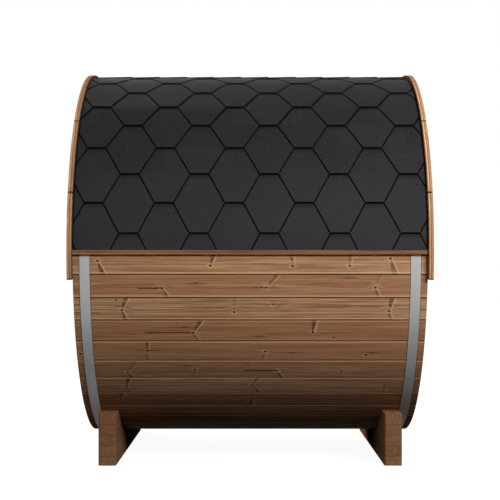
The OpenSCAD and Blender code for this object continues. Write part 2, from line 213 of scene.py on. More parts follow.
def set_finish(material, inputs, **constants):
    """Fills the sockets of a material's own shader with links and with constants."""
    tree = material.node_tree
    shader = tree.nodes["Principled BSDF"]
    for name, value in constants.items():
        shader.inputs[name.replace("_", " ")].default_value = value
    for name, value in inputs.items():
        tree.links.new(value.socket, shader.inputs[name])


def seen_directly(flow):
    """1 for the rays that show a surface to the eye, in a mirror or through glass."""
    kinds = ("Is Camera Ray", "Is Glossy Ray", "Is Transmission Ray")
    camera, glossy, through = (flow.node("LightPath", out=kind) for kind in kinds)
    return camera.most(glossy).most(through)


world = bpy.data.worlds.new("studio")
world.use_nodes = True
scene.world = world
sky = world.node_tree.nodes["Background"]
sky_flow = Flow(world.node_tree, sky.inputs["Strength"])
sky.inputs["Color"].default_value = WHITE
look_up = sky_flow.node("TexCoord", out="Generated").parts()[2]
sky_glow = seen_directly(sky_flow).most(look_up.rise(*SKY_RISE) * SKY_LIGHT)
world.node_tree.links.new(sky_glow.socket, sky.inputs["Strength"])

floor_mesh = bpy.data.meshes.new("floor")
half = FLOOR_SIZE / 2
corners = [(-half, -half), (half, -half), (half, half), (-half, half)]
floor_mesh.from_pydata([(x, y, -FLOOR_DROP) for x, y in corners], [], [(0, 1, 2, 3)])
floor = bpy.data.objects.new("floor", floor_mesh)
scene.collection.objects.link(floor)
floor_finish, place = new_finish("floor")
seen = seen_directly(place)
x, y = place.parts()[:2]
glow = x.span(y).rise(*FLOOR_REACH).blend(FLOOR_NEAR, WHITE)
set_finish(
    floor_finish,
    {"Base Color": seen.blend(FLOOR_BOUNCE, FLOOR_PALE), "Emission Color": seen.blend(BLACK, glow)},
    Roughness=1.0,
    Specular_IOR_Level=0.0,
    Emission_Strength=1.0,
)
floor_mesh.materials.append(floor_finish)


def soft_box(name, place, width, height, power):
    """A rectangular soft light that faces the middle of the barrel."""
    lamp = bpy.data.lights.new(name, "AREA")
    lamp.shape = "RECTANGLE"
    lamp.size = width
    lamp.size_y = height
    lamp.energy = power
    box = bpy.data.objects.new(name, lamp)
    box.location = place
    aim = Vector((0, 0, cad_box[1].z / 2)) - Vector(place)
    box.rotation_euler = aim.to_track_quat("-Z", "Y").to_euler()
    scene.collection.objects.link(box)


soft_box("front_box", place=(2.9, -4.4, 3.4), width=2.4, height=2.0, power=335)
soft_box("back_box", place=(-3.3, 4.1, 3.4), width=2.4, height=2.0, power=335)
soft_box("left_fill", place=(-5.5, -1.8, 0.9), width=2.0, height=1.6, power=64)


# Cradles
# Two glued beams of heat-treated pine stand across the barrel and carry it in saddles cut to
# its staves. Their ends show the lamellae, one above the other, with their growth rings.
LAMELLA = 0.0530
LAMELLA_START = 0.0465
GLUE_EDGE = (0.455, 0.485)
RING = 0.0030
CRADLE_RING = 0.0058
CRADLE_LIGHT = (0.270, 0.138, 0.068, 1)
CRADLE_DARK = (0.118, 0.054, 0.025, 1)
GLUE = (0.050, 0.023, 0.012, 1)
X_AXIS, Y_AXIS, Z_AXIS = range(3)


def growth(flow, along, across, depth, seeds, ring=RING):
    """Counts the growth rings of a board cut from a log whose heart lies below its face."""
    heart_across = (seeds[0] - 0.5) * 0.20
    heart_depth = 0.028 + seeds[1] * 0.07
    slope = (seeds[2] - 0.5) * 0.016
    shake = flow.noise(along * 1.3, across * 9 + seeds[0] * 31, depth * 9 + seeds[1] * 17, 3.0) - 0.5
    side = across - heart_across + shake * 0.016
    down = depth + heart_depth + along * slope + shake * 0.012
    return side.span(down) / ring


def ring_tone(rings):
    """Pale early wood that darkens to a thin line of late wood at the end of each ring."""
    return rings.fraction().band(0.15, 0.88, 0.93, 1.0)


def fibre_tone(flow, along, across, depth, seed):
    """Streaks along the grain, from 0 to 1: long broad ones and short fine ones."""
    broad = flow.noise(along * 1.6 + seed * 11, across * 85, depth * 85 + seed * 3, 3.0).rise(0.30, 0.70)
    fine = flow.noise(along * 9 + seed * 7, across * 430, depth * 430).rise(0.25, 0.75)
    return broad * 0.6 + fine * 0.4


def bump(flow, height, strength, distance):
    return flow.node("Bump", inputs={"Height": height, "Strength": strength, "Distance": distance})


def facing(flow, axis):
    """1 on the faces whose normal lies along an axis, where a board shows its end grain."""
    normal = flow.node("NewGeometry", out="Normal").parts()[axis]
    return normal.size().rise(0.75, 0.9)


def finish_nodes(material, *names):
    """Gives pieces of the frame their finish."""
    for name in names:
        for slot in nodes[name].material_slots:
            slot.material = material


cradle_low, cradle_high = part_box("cradle_right")
cradle_middle = (cradle_low.x + cradle_high.x) / 2

cradle_finish, place = new_finish("cradle_glued_pine")
x, y, z = place.parts()
layer = (z - LAMELLA_START) / LAMELLA + 1
seeds = place.chance(layer.floor(), x.sign(), 4.0)
in_layer = layer.fraction() * LAMELLA
rings = growth(place, y, x - x.sign() * cradle_middle, in_layer, seeds, CRADLE_RING)
tone = ring_tone(rings) * 0.55 + fibre_tone(place, y, x, z, seeds[0]) * 0.6
glue_line = (layer.fraction() - 0.5).size().rise(*GLUE_EDGE)
wood = tone.blend(CRADLE_LIGHT, CRADLE_DARK)
wood = wood.tint(BLACK, 0.22 * seeds[2])
wood = wood.tint(GLUE, glue_line * (0.15 + facing(place, Y_AXIS) * 0.40))
set_finish(
    cradle_finish,
    {"Base Color": wood, "Normal": bump(place, 1 - tone - glue_line, strength=0.25, distance=0.001)},
    Roughness=0.85,
    Specular_IOR_Level=0.0,
)
finish_nodes(cradle_finish, "cradle_left", "cradle_right")


# Staves
# Heat-treated pine boards, planed hollow on one edge and round on the other so that they turn
# round the barrel. Each has its own tone, knots and drying cracks, and a painted arris highlight.
STAVE_COUNT = 54
DARK_STAVE = -9
WOOD_GLOSS = 0.004
STAVE_LIGHT = (0.600, 0.372, 0.212, 1)
STAVE_DARK = (0.215, 0.102, 0.046, 1)
STAVE_RED = (0.330, 0.140, 0.065, 1)
# The dark of knots, cracks and pins, also used for painted shadow on the trims
KNOT_AND_SHADOW_DARK = (0.030, 0.013, 0.008, 1)
# The pale of the wood beside knots, and the colour of the painted highlight on the staves' arrises
PALE_WOOD_AND_HIGHLIGHT = (0.640, 0.420, 0.260, 1)
# The dark of seams, joints and glue lines, also used for painted shade in the grooves, beside the hoops
# and at the trims' feet
SEAM_AND_SHADE_DARK = (0.085, 0.040, 0.020, 1)
END_GRAIN = (0.100, 0.050, 0.025, 1)

# The knots of the front staves. Each row holds the stave's number, counted from the bottom and
# negative in front, the place along the barrel, the height of the heart as a share of the stave's
# width, the strength of the branches above and below it, how far they lean, and the length of a
# drying crack.
FRONT_KNOTS = [
    (-13, -0.722, 0.10, 0.0, 1.0, 0.40, 0.0),
    (-13, -0.188, -0.11, 1.0, 0.0, 0.25, 0.0),
    (-13, 0.200, -0.12, 0.5, 0.0, -0.10, 0.0),
    (-13, 0.471, -0.11, 0.5, 0.0, 0.0, 0.0),
    (-13, 0.663, 0.20, 0.0, 0.8, 0.28, 0.0),
    (-12, -0.418, -0.07, 0.0, 0.9, 0.60, 0.13),
    (-12, 0.076, -0.05, 0.6, 0.0, 0.80, 0.0),
    (-12, 0.592, -0.05, 0.2, 0.7, 0.33, 0.0),
    (-11, -0.611, -0.04, 0.9, 0.9, 0.34, 0.0),
    (-11, -0.076, -0.12, 0.2, 0.2, 0.0, 0.0),
    (-11, 0.661, -0.08, 0.8, 0.7, 0.18, 0.0),
    (-10, -0.274, -0.09, 1.0, 0.6, 0.58, 0.26),
    (-10, 0.300, -0.06, 1.0, 0.0, 0.10, 0.0),
    (-9, -0.822, -0.15, 0.0, 0.0, 0.0, 0.0),
    (-9, -0.498, 0.0, 0.8, 0.4, 0.02, 0.0),
    (-9, 0.073, -0.02, 0.0, 0.4, -0.40, 0.0),
    (-9, 0.561, -0.20, 0.0, 0.0, 0.0, 0.0),
    (-8, -0.600, -0.18, 0.3, 1.0, 0.60, 0.0),
    (-8, -0.271, 0.0, 0.0, 0.3, -0.10, 0.0),
    (-8, 0.129, -0.07, 0.0, 0.9, 0.52, 0.20),
    (-8, 0.446, -0.12, 0.0, 0.2, 0.0, 0.0),
    (-7, -0.614, -0.05, 0.9, 0.5, 0.25, 0.0),
    (-7, 0.010, 0.04, 0.8, 0.8, 0.60, 0.0),
    (-7, 0.664, 0.0, 0.0, 0.2, 0.0, 0.0),
    (-6, -0.650, -0.05, 0.8, 0.0, 0.15, 0.0),
    (-6, 0.010, 0.10, 0.0, 0.7, -0.15, 0.0),
    (-5, -0.030, 0.05, 0.6, 0.0, 0.30, 0.0),
]
KNOT_ROOM = 0.28
BOARD_STRIDE = 10
KNOT_CELL = 0.42
KNOT_SHARE = 0.56
HEART_EDGE = (0.0062, 0.0036)
BRANCH_FOOT = 0.0028
BRANCH_SPREAD = 0.19
CRACK_LENGTH = 0.13
CRACK_SHARE = 0.2
CRACK_EDGE = (0.0042, 0.0016)
PIN_CELL = 0.36
PIN_SHARE = 0.5
PIN_EDGE = (0.0042, 0.0022)
STAIN_EDGE = (0.0050, 0.0015)
LOW_ARRIS = (0.0062, 0.0084, 0.0110, 0.0136)
HIGH_ARRIS = (0.0020, 0.0036, 0.0060)
HIGH_ARRIS_END = 0.0085
HIGH_ARRIS_GROWTH = 0.016
LOW_SEAM = (0.0064, 0.0036)
HIGH_SEAM = (0.0030, 0.0010)
HOOP_SHADE = (0.0060, 0.0015)
SKIN = (0.006, 0.002)

bottom_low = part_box("bottom_stave")[0]
ridge_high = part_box("ridge_stave")[1]
barrel_r = (ridge_high.z - bottom_low.z) / 2
axis_z = (ridge_high.z + bottom_low.z) / 2
stave_step = 2 * pi / STAVE_COUNT
stave_width = stave_step * barrel_r
hoop_low, hoop_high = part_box("hoop_right")
hoop_middle = (hoop_low.x + hoop_high.x) / 2
hoop_half = (hoop_high.x - hoop_low.x) / 2


def chosen_knots(flow, along, board, rows):
    """Knots at chosen places: whether one is near, how far along it is, and its row's numbers."""
    spot = board * BOARD_STRIDE + along
    first = second = (0, 0, 0)
    there = 0
    for number, middle, height, upper, lower, lean, crack in rows:
        gaps = [abs(row[1] - middle) for row in rows if row[0] == number and row[1] != middle]
        here = spot.near(number * BOARD_STRIDE + middle, min([KNOT_ROOM] + [gap / 2 for gap in gaps]))
        add = {"operation": "MULTIPLY_ADD"}
        first = flow.node("VectorMath", add, {0: here, 1: (middle, height, crack), 2: first})
        second = flow.node("VectorMath", add, {0: here, 1: (upper, lower, lean), 2: second})
        there = here + there
    middle, height, crack = first.parts()
    upper, lower, lean = second.parts()
    return there, along - middle, height, upper, lower, lean, crack


def strewn(flow, along, board, cell, share):
    """Things strewn along a board, at most one to a cell: whether the cell has one, how far along
    each place is from it, and five random numbers of its own."""
    count = along / cell + flow.chance(board, 3.7, cell)[0]
    luck = flow.chance(count.floor(), board, 1.3)
    more = flow.chance(count.floor(), board, 8.9)
    there = luck[0].below(share)
    return there, (count.fraction() - 0.3 - 0.4 * luck[1]) * cell, luck[1:] + more


def strewn_knots(flow, along, board):
    """Knots strewn along a board, told as chosen ones are."""
    there, away, luck = strewn(flow, along, board, KNOT_CELL, KNOT_SHARE)
    lean = luck[0] * 0.7 - 0.1
    upper = luck[1].rise(0.45, 1.0)
    lower = luck[2].rise(0.45, 1.0)
    crack = luck[3].below(CRACK_SHARE) * CRACK_LENGTH
    return there, away, (luck[4] - 0.5) * 0.4, upper, lower, lean, crack


def pine(flow, along, across, depth, board, width, knots):
    """Heat-treated pine for a board of a width. It gives the wood's tone from pale to dark, its red
    streaks, the darkness of its knots and cracks, and the paler wood beside them."""
    there, away, height, upper, lower, lean, crack = knots
    seeds = flow.chance(board, 5.1)
    shake = flow.noise(along * 30, across * 60, board * 3.0 + depth * 30) - 0.5

    # Branches grow out of the heart towards the edges of the board and widen on the way
    climb = across - height * width
    reach = climb.size()
    over = (climb * 1000).rise(-1, 1)
    arm = there * (upper * over + lower * (1 - over))
    beside = away - reach * lean + shake * 0.010
    breadth = BRANCH_FOOT + reach * BRANCH_SPREAD
    blot = shake.rise(-0.16, 0.06) * 0.45 + reach.rise(0.002, 0.020) * 0.55
    branch = arm * (beside.size() / breadth).rise(1.1, 0.6) * blot
    halo = arm * (beside - breadth - 0.0042).size().rise(0.0075, 0.0010)
    heart_away = (away * away * 0.5 + climb * climb) ** 0.5
    heart = there * (heart_away + shake * 0.003).rise(*HEART_EDGE)
    halo = halo.most(there * (heart_away + shake * 0.02).rise(0.017, 0.006) * 0.6)

    # Drying cracks run along the grain from the heart
    split = there * crack.rise(0.0, 0.01)
    split = split * (away / (crack + 0.001)).rise(-1.0, -0.8) * away.rise(0.006, 0.0)
    split = split * (climb + shake * 0.005).size().rise(*CRACK_EDGE)

    # Pin knots lie anywhere, often with a short dark streak
    pin_there, pin_away, luck = strewn(flow, along, board + 60, PIN_CELL, PIN_SHARE)
    pin_climb = across - (luck[1] - 0.5) * width * 0.8
    pin_reach = (pin_away * pin_away * 0.4 + pin_climb * pin_climb) ** 0.5 + shake * 0.002
    pin = pin_there * pin_reach.rise(*PIN_EDGE)
    stain = pin_there * luck[2].below(0.5) * pin_away.bell(420)
    stain = stain * (pin_climb + shake * 0.006).size().rise(*STAIN_EDGE)

    # The rings swerve round every knot
    hill = there * heart_away.bell(2200) * 1.2
    hill = hill + pin_there * pin_reach.bell(4200) * 0.9
    rings = growth(flow, along, across, depth, seeds) + hill
    tone = ring_tone(rings) * 0.42 + fibre_tone(flow, along, across, depth, board) * 1.30 - 0.34
    flush = flow.noise(along * 0.9 + board * 5, across * 45, depth * 45 + board).rise(0.38, 0.62)
    dark = (branch * 0.76).most(heart).most(split).most(pin).most(stain * 0.6)
    return tone, flush, dark, halo


def board_tints(tone, flush, dark, halo, shade, red):
    """The colour of a pine board, with a shade and a redness of its own."""
    wood = tone.blend(STAVE_LIGHT, STAVE_DARK)
    wood = wood.tint(STAVE_RED, red + flush * 0.18)
    wood = wood.tint(BLACK, shade)
    wood = wood.tint(PALE_WOOD_AND_HIGHLIGHT, halo * 0.45)
    return wood.tint(KNOT_AND_SHADOW_DARK, dark)


def set_pine(material, place, wood, tone, dark):
    """Finishes knotty pine, which is rougher and lower where the wood is dark."""
    set_finish(
        material,
        {
            "Base Color": wood,
            "Roughness": 0.6 + tone * 0.2,
            "Normal": bump(place, 1 - tone * 0.6 - dark, strength=0.3, distance=0.0012),
        },
        Specular_IOR_Level=WOOD_GLOSS,
    )


def stave_finish(name, rows):
    """Pine staves round the barrel, with chosen knots where there are rows, or else strewn ones."""
    material, place = new_finish(name)
    x, y, z = place.parts()
    up = z - axis_z
    turn = y.angle(up * -1) / stave_step
    stave = (turn + 0.5).floor()
    climb = (turn - stave) * y.sign()
    across = climb * stave_width
    depth = barrel_r - y.span(up)
    knots = chosen_knots(place, x, stave, rows) if rows else strewn_knots(place, x, stave)
    tone, flush, dark, halo = pine(place, x, across, depth, stave, stave_width, knots)
    fall = up * (-1 / barrel_r)

    # Every second stave is darker and redder, one of the others too, and painted shade makes the lowest
    # nearly black
    luck = place.chance(stave, 21.0)
    every_second = (stave * 0.5).fraction().below(0.25)
    darkest = stave.near(DARK_STAVE, 0.1)
    shade = luck[0] * 0.14 + every_second * 0.11 + darkest * 0.05
    shade = shade + fall.rise(0.86, 0.97) * 0.85
    red = luck[1] * 0.24 + every_second * 0.34 + darkest * 0.36
    wood = board_tints(tone, flush, dark, halo, shade, red)

    # A painted highlight lies on a stave's lower arris high on the barrel and on its upper arris low on
    # it
    to_lower = (0.5 + climb) * stave_width
    to_upper = (0.5 - climb) * stave_width
    low_arris = to_lower.band(*LOW_ARRIS) * fall.rise(0.50, 0.30)
    high_end = HIGH_ARRIS_END + fall.rise(0.70, 0.98) * HIGH_ARRIS_GROWTH
    high_arris = to_upper.band(*HIGH_ARRIS, high_end) * fall.rise(0.25, 0.45)
    arris = (low_arris * 0.66).most(high_arris * 0.85)
    wood = wood.tint(PALE_WOOD_AND_HIGHLIGHT, arris * depth.rise(*SKIN))

    # Shade lies in the seams and beside the hoops
    seam = to_lower.rise(*LOW_SEAM).most(to_upper.rise(*HIGH_SEAM))
    wood = wood.tint(SEAM_AND_SHADE_DARK, seam * 0.88)
    to_hoop = (x.size() - hoop_middle).size() - hoop_half
    wood = wood.tint(SEAM_AND_SHADE_DARK, to_hoop.rise(*HOOP_SHADE) * 0.55)
    wood = wood.tint(END_GRAIN, facing(place, X_AXIS) * 0.45)
    set_pine(material, place, wood, tone, dark)
    return material


plain_staves = stave_finish("stave_pine", [])
finish_nodes(plain_staves, *[name for name in nodes if "stave" in name])
odd_rows = [row for row in FRONT_KNOTS if row[0] % 2]
finish_nodes(stave_finish("odd_front_stave_pine", odd_rows), "lower_front_staves_a")
even_rows = [row for row in FRONT_KNOTS if row[0] % 2 == 0]
finish_nodes(stave_finish("even_front_stave_pine", even_rows), "lower_front_staves_b")


# Hoops
# Two bands of brushed flat steel draw the staves together. Each is closed at the back by a bolt
# through a pair of angle lugs.
STEEL_LIGHT = (0.53, 0.53, 0.535, 1)
STEEL_DARK = (0.37, 0.37, 0.375, 1)
# The colour of a painted highlight on the left band's foot
STEEL_PAINTED_HIGHLIGHT = (0.95, 0.95, 0.96, 1)


def right_end(x):
    """1 at the right end of the barrel and 0 at the left."""
    return x.rise(-0.1, 0.1)


steel_finish, place = new_finish("brushed_steel")
x, y, z = place.parts()
brushed = place.noise(x * 900, y * 6, z * 6, 3.0)
cloud = place.noise(x * 9, y * 5, z * 5, 3.0)
fall = (axis_z - z) / barrel_r
steel = (brushed * 0.6 + cloud * 0.4).blend(STEEL_LIGHT, STEEL_DARK)
# The right band is darker all over; below the axis both bands are darkened with painted shade, and the
# left band's foot gets a painted highlight
steel = steel.tint(BLACK, right_end(x) * 0.16 + fall.rise(0.25, 0.50) * 0.12)
steel = steel.tint(STEEL_PAINTED_HIGHLIGHT, x.below(0) * fall.rise(0.55, 0.85) * 0.8)
set_finish(
    steel_finish,
    {
        "Base Color": steel,
        "Roughness": 0.42 + cloud * 0.2,
        "Normal": bump(place, brushed, strength=0.08, distance=0.0004),
    },
    Metallic=0.03,
    Specular_IOR_Level=0.05,
)
finish_nodes(steel_finish, "hoop_left", "hoop_right", "hoop_lugs", "door_hinges")

CLAMP_ANGLE = radians(28)
BOLT_REACH = 0.0219
LUG_OUT = 0.019
WASHER_R = 0.010
WASHER_T = 0.002
WASHER_SIDES = 24
NUT_R = 0.0098
NUT_T = 0.008
NUT_SIDES = 6
BOLT_R = 0.005
BOLT_END = 0.006
BOLT_SIDES = 16
CHAMFER = 0.0008


def stack(mesh, stand, rings, sides):
    """Adds a closed skin round an axis, through rings given by their height and radius."""
    loops = []
    for height, radius in rings:
        turns = [2 * pi * i / sides for i in range(sides)]
        points = [Vector((radius * cos(t), radius * sin(t), height)) for t in turns]
        loops.append([mesh.verts.new(stand @ point) for point in points])
    for low, high in zip(loops, loops[1:]):
        for i in range(sides):
            j = (i + 1) % sides
            mesh.faces.new((low[i], low[j], high[j], high[i]))
    mesh.faces.new(loops[0][::-1])
    mesh.faces.new(loops[-1])


def add_piece(name, mesh, material):
    """Makes an object of a finished mesh and fastens it to the sauna."""
    bmesh.ops.recalc_face_normals(mesh, faces=mesh.faces)
    data = bpy.data.meshes.new(name)
    mesh.to_mesh(data)
    mesh.free()
    data.materials.append(material)
    piece = bpy.data.objects.new(name, data)
    scene.collection.objects.link(piece)
    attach(piece, "root")


bolt_mesh = bmesh.new()
outward = Vector((0, cos(CLAMP_ANGLE), -sin(CLAMP_ANGLE)))
along_bolt = Vector((0, -sin(CLAMP_ANGLE), -cos(CLAMP_ANGLE)))
for side in (-1, 1):
    middle = Vector((side * hoop_middle, 0, axis_z)) + outward * (barrel_r + BOLT_REACH)
    stand = Matrix.Translation(middle) @ along_bolt.to_track_quat("Z", "X").to_matrix().to_4x4()
    seat = LUG_OUT + WASHER_T
    for way in (-1, 1):
        stack(bolt_mesh, stand, [(way * LUG_OUT, WASHER_R), (way * seat, WASHER_R)], WASHER_SIDES)
        top = seat + NUT_T
        nut = [(way * seat, NUT_R), (way * (top - CHAMFER), NUT_R), (way * top, NUT_R - 1.5 * CHAMFER)]
        stack(bolt_mesh, stand, nut, NUT_SIDES)
    tip = seat + NUT_T + BOLT_END
    shank = [(-tip, BOLT_R - CHAMFER), (CHAMFER - tip, BOLT_R), (seat, BOLT_R)]
    stack(bolt_mesh, stand, shank, BOLT_SIDES)
add_piece("hoop_bolts", bolt_mesh, steel_finish)


# End walls
# Upright tongued boards of the same pine fill both ends, let into grooves in the staves. One
# wall is plain, and the other has a doorway in its middle.
PLAIN_BOARDS = 15
SIDE_BOARDS = 5
HEAD_BOARDS = 5
BOARD_SEAM = (0.0032, 0.0012)


def board_finish(name, y_start, board_width, face_x, seed):
    """Pine boards that stand upright side by side from a place across the barrel."""
    material, place = new_finish(name)
    x, y, z = place.parts()
    count = (y - y_start) / board_width
    board = count.floor() + seed
    across = (count.fraction() - 0.5) * board_width
    depth = (x - face_x).size()
    knots = strewn_knots(place, z, board)
    tone, flush, dark, halo = pine(place, z, across, depth, board, board_width, knots)
    luck = place.chance(board, 7.0)
    wood = board_tints(tone, flush, dark, halo, luck[0] * 0.16, luck[1] * 0.30)
    to_edge = board_width / 2 - across.size()
    wood = wood.tint(SEAM_AND_SHADE_DARK, to_edge.rise(*BOARD_SEAM) * 0.8)
    wood = wood.tint(END_GRAIN, facing(place, Z_AXIS) * 0.4)
    set_pine(material, place, wood, tone, dark)
    return material


wall_low, wall_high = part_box("left_wall_boards_a")
wall_r = (wall_high.y - wall_low.y) / 2
plain_width = 2 * wall_r / PLAIN_BOARDS
plain_finish = board_finish("plain_wall_pine", -wall_r, plain_width, wall_low.x, seed=100)
finish_nodes(plain_finish, "left_wall_boards_a", "left_wall_boards_b")

frame_low, frame_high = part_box("door_frame")
side_width = (wall_r - frame_high.y) / SIDE_BOARDS
front_finish = board_finish("front_side_wall_pine", -wall_r, side_width, -wall_low.x, seed=130)
finish_nodes(front_finish, "right_wall_boards_front")
back_finish = board_finish("back_side_wall_pine", frame_high.y, side_width, -wall_low.x, seed=150)
finish_nodes(back_finish, "right_wall_boards_back")
head_width = 2 * frame_high.y / HEAD_BOARDS
head_finish = board_finish("door_head_pine", frame_low.y, head_width, -wall_low.x, seed=170)
finish_nodes(head_finish, "right_wall_boards_over", "right_wall_boards_under")


# Door
# A boarded door with a small tinted light hangs in a rebated frame on two screwed strap hinges,
# with a round wooden bar on each face. Frame, beads and bars are straight-grained pine.
LEAF_BOARDS = 5
FRAME_LIGHT = (0.420, 0.240, 0.130, 1)
FRAME_DARK = (0.215, 0.105, 0.050, 1)
BAR_LIGHT = (0.560, 0.360, 0.205, 1)
BAR_DARK = (0.330, 0.180, 0.090, 1)
GLASS_TINT = (0.16, 0.10, 0.07, 1)


def set_planed(material, place, wood, tone):
    """Finishes planed pine without knots."""
    set_finish(
        material,
        {
            "Base Color": wood,
            "Roughness": 0.55 + tone * 0.2,
            "Normal": bump(place, 1 - tone, strength=0.25, distance=0.001),
        },
        Specular_IOR_Level=WOOD_GLOSS,
    )


def straight_finish(name, axis, light, dark, seed, rails=None):
    """Straight-grained pine whose fibres run along one axis. In an upright frame they turn to run
    across it in the rails, which lie below the first of two heights and above the second."""
    material, place = new_finish(name)
    x, y, z = place.parts()
    along, across, depth = [(x, y, z), (y, z, x), (z, x, y)][axis]
    if rails:
        rail = z.below(rails[0]).most(1 - z.below(rails[1]))
        along = z + rail * (y - z)
        depth = y + rail * (z - y)
    seeds = place.chance((across * 4).floor(), seed)
    tone = ring_tone(growth(place, along, across, depth, seeds)) * 0.45
    tone = tone + fibre_tone(place, along, across, depth, seeds[0]) * 0.75 - 0.1
    set_planed(material, place, tone.blend(light, dark), tone)
    return material


leaf_low, leaf_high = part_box("door_boards")
leaf_width = (leaf_high.y - leaf_low.y) / LEAF_BOARDS
leaf_finish = board_finish("door_pine", leaf_low.y, leaf_width, leaf_high.x, seed=190)
finish_nodes(leaf_finish, "door_boards")
leaf_rails = (leaf_low.z, leaf_high.z)
jamb_finish = straight_finish("door_frame_pine", Z_AXIS, FRAME_LIGHT, FRAME_DARK, 1.0, leaf_rails)
finish_nodes(jamb_finish, "door_frame")
light_low, light_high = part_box("door_glass")
light_rails = (light_low.z, light_high.z)
bead_finish = straight_finish("glass_bead_pine", Z_AXIS, BAR_LIGHT, BAR_DARK, 5.0, light_rails)
finish_nodes(bead_finish, "door_glass_beads")
ledge_finish = straight_finish("door_ledge_pine", Y_AXIS, FRAME_LIGHT, FRAME_DARK, 2.0)
finish_nodes(ledge_finish, "door_ledges")
bar_finish = straight_finish("door_bar_pine", Z_AXIS, BAR_LIGHT, BAR_DARK, 3.0)
finish_nodes(bar_finish, "door_handles")

glass_finish, place = new_finish("tinted_glass")
x, y, z = place.parts()
set_finish(
    glass_finish,
    {"Roughness": 0.03 + place.noise(x * 20, y * 20, z * 20) * 0.04},
    Base_Color=GLASS_TINT,
    Transmission_Weight=0.75,
    IOR=1.5,
)
finish_nodes(glass_finish, "door_glass")

SCREW_R = 0.0042
SCREW_T = 0.0022
SOCKET_R = 0.0016
SCREW_SIDES = 12
STRAP_SCREWS = 4
FIRST_SCREW = 0.35
PLATE_SCREW_RISE = 0.022
PLATE_START = 0.008
HINGE_T = 0.003
HINGE_H = 0.060

hinge_low, hinge_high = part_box("door_hinges")
knuckle_y = leaf_high.y
strap_face = hinge_low.x + HINGE_T
hinge_rise = (hinge_high.z - hinge_low.z) / 2 - HINGE_H / 2
hinge_middle = (hinge_high.z + hinge_low.z) / 2
strap_l = knuckle_y - hinge_low.y
screw_places = []
for side in (-1, 1):
    hinge_z = hinge_middle + side * hinge_rise
    for i in range(STRAP_SCREWS):
        screw_places.append((hinge_low.y + strap_l * (i + FIRST_SCREW) / STRAP_SCREWS, hinge_z))
    plate_y = (knuckle_y + PLATE_START + hinge_high.y) / 2
    for rise in (-PLATE_SCREW_RISE, PLATE_SCREW_RISE):
        screw_places.append((plate_y, hinge_z + rise))

screw_mesh = bmesh.new()
for screw_y, screw_z in screw_places:
    stand = Matrix.Translation((strap_face, screw_y, screw_z)) @ Matrix.Rotation(pi / 2, 4, "Y")
    dome = [(0, SCREW_R), (SCREW_T * 0.5, SCREW_R * 0.93), (SCREW_T * 0.9, SCREW_R * 0.7)]
    socket = [(SCREW_T, SOCKET_R), (SCREW_T * 0.2, SOCKET_R * 0.9)]
    stack(screw_mesh, stand, dome + socket, SCREW_SIDES)
add_piece("hinge_screws", screw_mesh, steel_finish)


# Roof
# Bitumen shingles in courses over felt, each course lying on the two below it. Their six-sided
# tabs are strewn with slate granules, with a dark bare edge along every cut and painted shadow beside
# it.
SHINGLE_GREY = (0.0114, 0.0114, 0.0123, 1)
SHINGLE_PALE = (0.0260, 0.0260, 0.0280, 1)
# Black of bare bitumen, also used for painted shadow and shade on the roof
SHINGLE_EDGE_AND_SHADOW = (0.0012, 0.0012, 0.0013, 1)
# The colour of painted light on the low courses and on the top left of the roof
SHINGLE_PAINTED_LIGHT = (0.0600, 0.0600, 0.0620, 1)
ROOF_RISE = 0.0117
TAB_PITCH = 0.333
TAB_FOOT = 0.089
TAB_SHIFT = 0.090
EXPOSURE = 0.148
FIRST_COURSE = 0.084
LINE_W = 0.0065
RIDGE_LINE_MORE = 0.006
FOOT_LINE = (0.0105, 0.0080)
SIDE_LINE = (0.009, 0.003)
CAP_COUNT = 11
CAP_LINE = (0.006, 0.003)
CAP_SIDE_LINE = (0.014, 0.008)

felt_low, felt_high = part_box("roof_felt_front")
roof_r = barrel_r + ROOF_RISE
first_angle = (felt_low.z - axis_z) / barrel_r + FIRST_COURSE / roof_r
course_step = EXPOSURE / roof_r
slant_run = (TAB_PITCH / 2 - TAB_FOOT) / EXPOSURE
slant_square = 1 / (1 + slant_run ** 2) ** 0.5


def granules(flow):
    """Slate granules on bitumen: their tone and their height."""
    x, y, z = flow.parts()
    fine = flow.noise(x * 620, y * 620, z * 620, 1.0)
    coarse = flow.noise(x * 190 + 5, y * 190, z * 190, 2.0)
    patch = flow.noise(x * 7, y * 7, z * 7, 3.0)
    tone = fine.rise(0.3, 0.7) * 0.4 + coarse.rise(0.32, 0.68) * 0.6 + patch * 0.3 - 0.22
    return tone, fine * 0.7 + coarse


def roofing(material, place, slate, height):
    """Finishes slate on bitumen, dull but for the sheen of its granules."""
    set_finish(
        material,
        {"Base Color": slate, "Normal": bump(place, height, strength=0.5, distance=0.002)},
        Roughness=0.92,
        Specular_IOR_Level=0.02,
        Sheen_Weight=0.075,
        Sheen_Roughness=0.4,
    )


shingle_finish, place = new_finish("slate_shingle")
x, y, z = place.parts()
up = z - axis_z
count = (up.angle(y.size()) - first_angle) / course_step
course = count.floor()
climb = count.fraction()
tab_count = (x - TAB_SHIFT) / TAB_PITCH + (course * 0.5).fraction() + 0.5
from_middle = (tab_count.fraction() - 0.5) * TAB_PITCH
across = from_middle.size()
tab_half = TAB_FOOT / 2 + climb * (slant_run * EXPOSURE)

# Painted shadow runs as dark lines along the slants and feet of the tabs, wider near the ridge, where
# the slants widen on one side of each tab only
beyond = (across - tab_half) * slant_square
near_ridge = count.rise(3.2, 5.2) * RIDGE_LINE_MORE
shade_width = LINE_W + from_middle.rise(-0.01, 0.01) * near_ridge
slant = beyond.rise(-0.0014, 0.0002) * (beyond - shade_width).rise(0.0012, -0.0010)
to_foot = (1 - climb) * EXPOSURE
under_foot = TAB_PITCH / 2 - across - TAB_FOOT / 2
foot = (to_foot - near_ridge).rise(*FOOT_LINE) * under_foot.rise(0.004, 0.0)
hollow = to_foot.rise(0.040, 0.008) * under_foot.rise(0.02, -0.01)
